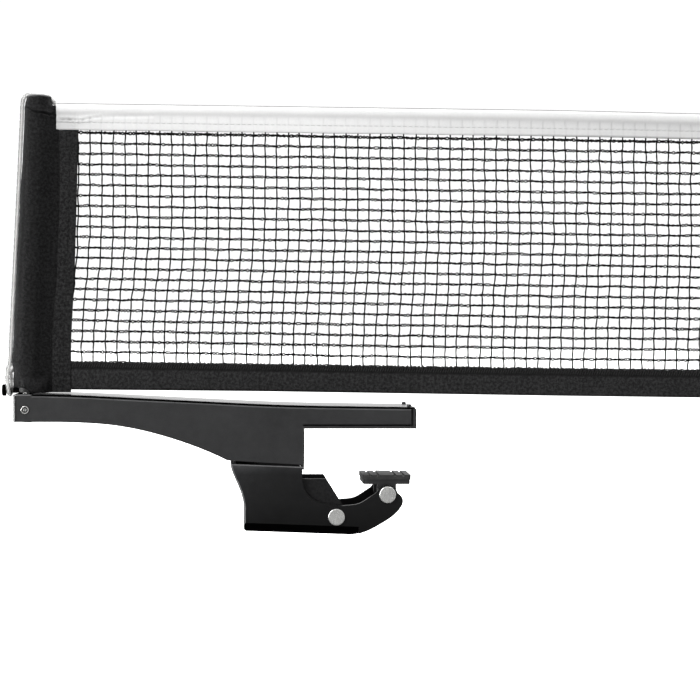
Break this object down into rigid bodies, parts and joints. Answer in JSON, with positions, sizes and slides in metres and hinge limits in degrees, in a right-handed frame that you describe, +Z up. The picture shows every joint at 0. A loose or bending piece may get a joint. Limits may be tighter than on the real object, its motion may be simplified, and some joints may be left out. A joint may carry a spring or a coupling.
{
  "type": "table tennis net clamp",
  "caption": "Black spring clip clamp for a table edge, its long arm carrying an upright post with the end of a table tennis net: white top tape, black mesh, cloth sleeve and tension cord.",
  "frame": {"origin": "centre of the upper jaw's seat face, which lies on the table's playing surface, in the net's plane", "axes": "+X along the net from the post towards the table, +Y across the clamp, +Z up"},
  "size_m": [0.3489, 0.0369, 0.2086],
  "materials": {
    "casing": "satin black, fine texture",
    "moulding": "matt black moulding",
    "frame_steel": "black powder coat",
    "zinc": "bright zinc plate",
    "ring_steel": "spring steel, oiled",
    "spring_steel": "spring wire",
    "bush": "natural nylon",
    "rubber": "matt black rubber",
    "strap_steel": "satin black paint",
    "rivet_black": "black oxide",
    "tube": "gloss black",
    "gloss_black": "gloss black",
    "cap_black": "matt black",
    "sleeve_cloth": "black woven cloth",
    "band_cloth": "black webbing",
    "tape_white": "white coated cotton tape",
    "mesh_twine": "black knotted twine",
    "cord_white": "white braided cord"
  },
  "bodies": {
    "root": {"arm_shell": "casing", "arm_strap": "strap_steel", "strap_rivets": "rivet_black", "inner_frame": "frame_steel", "frame_screws": "zinc", "jaw_liner": "rubber", "post_socket": "moulding", "socket_screws": "zinc", "spring_seat_upper": "moulding", "pivot_bushes": "bush", "pivot_spacer": "zinc"},
    "lever": {"lever_shell": "casing", "pivot_pin": "zinc", "foot_pin": "zinc", "pin_rings": "ring_steel", "spring_cup_lower": "moulding", "clamp_spring": "spring_steel"},
    "foot": {"foot_shoe": "moulding", "foot_pad": "rubber"},
    "post": {"post_spigot": "zinc", "post_tube": "tube", "post_collar": "gloss_black", "post_cap": "cap_black", "net_side_sleeve": "sleeve_cloth", "net_side_band": "band_cloth", "net_tape": "tape_white", "net_mesh": "mesh_twine", "net_bottom_band": "band_cloth", "net_end_band": "band_cloth", "net_cord": "cord_white", "cord_knot": "cord_white", "cord_loop": "cord_white"},
    "height_screw": {"height_screw": "zinc", "screw_ring": "ring_steel"}
  },
  "joints": [
    {"name": "lever_pivot", "type": "hinge", "parent": "root", "child": "lever", "pos_m": [-0.01, 0, -0.0415], "axis": [0, 1, 0], "range_deg": [-20, 1.2], "stiffness_Nm_per_rad": 2.5, "deforming": ["clamp_spring"]},
    {"name": "foot_swivel", "type": "hinge", "parent": "lever", "child": "foot", "pos_m": [0.014, 0, -0.031], "axis": [0, 1, 0], "range_deg": [-20, 20]},
    {"name": "post_lift", "type": "slide", "parent": "root", "child": "post", "axis": [0.0384, 0, 0.9993], "range_m": [0, 0.005]},
    {"name": "height_screw_turn", "type": "hinge", "parent": "root", "child": "height_screw", "pos_m": [-0.1568, 0, 0.008], "axis": [0.0384, 0, 0.9993], "range_deg": [-1, 1801]}
  ],
  "couplings": [
    {"joint": "height_screw_turn", "follows": "post_lift", "rad_per_m": 6283.2}
  ]
}
